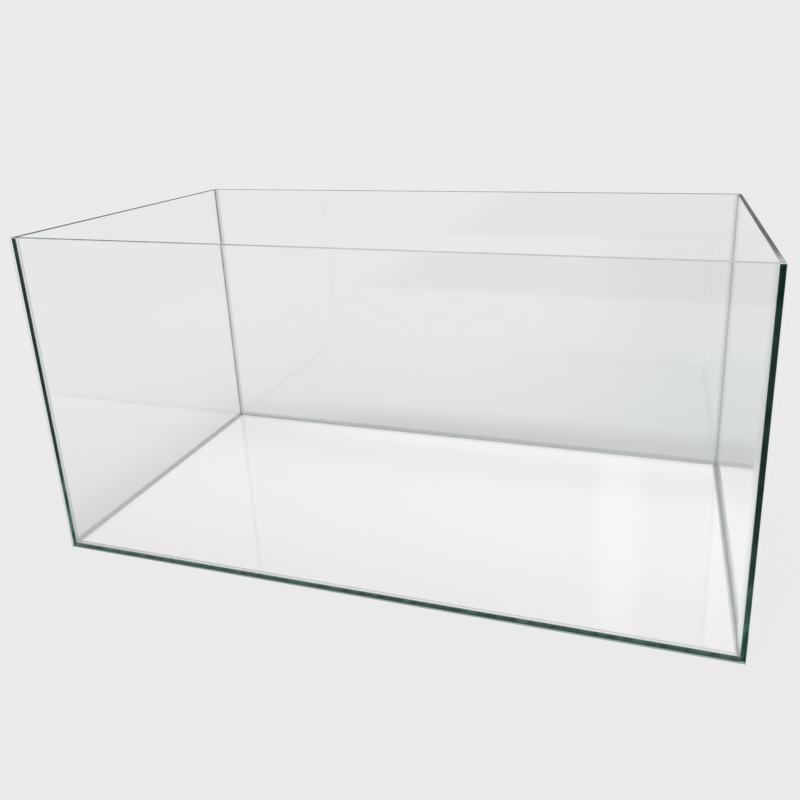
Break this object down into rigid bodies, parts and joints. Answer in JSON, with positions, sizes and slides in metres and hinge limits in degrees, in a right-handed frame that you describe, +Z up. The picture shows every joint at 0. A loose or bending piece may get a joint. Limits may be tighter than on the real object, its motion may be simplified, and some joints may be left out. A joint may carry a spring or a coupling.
{
  "type": "glass aquarium",
  "caption": "Open-topped rimless tank of clear float glass panes glued edge to face with clear silicone, to hold water, plants or small pets.",
  "frame": {"origin": "middle of the underside, on the surface that the tank stands on", "axes": "+Z up, +X along the length of the tank, the front pane faces -Y"},
  "size_m": [0.8, 0.4, 0.4],
  "materials": {
    "float_glass": "clear float glass with ground and polished green edges",
    "clear_silicone": "clear cured silicone, satin"
  },
  "bodies": {
    "root": {"front_pane": "float_glass", "back_pane": "float_glass", "left_pane": "float_glass", "right_pane": "float_glass", "bottom_pane": "float_glass", "front_left_corner_bond": "clear_silicone", "front_right_corner_bond": "clear_silicone", "back_left_corner_bond": "clear_silicone", "back_right_corner_bond": "clear_silicone", "front_base_bond": "clear_silicone", "back_base_bond": "clear_silicone", "left_base_bond": "clear_silicone", "right_base_bond": "clear_silicone", "front_left_corner_bead": "clear_silicone", "front_right_corner_bead": "clear_silicone", "back_left_corner_bead": "clear_silicone", "back_right_corner_bead": "clear_silicone", "front_base_bead": "clear_silicone", "back_base_bead": "clear_silicone", "left_base_bead": "clear_silicone", "right_base_bead": "clear_silicone"}
  },
  "joints": []
}
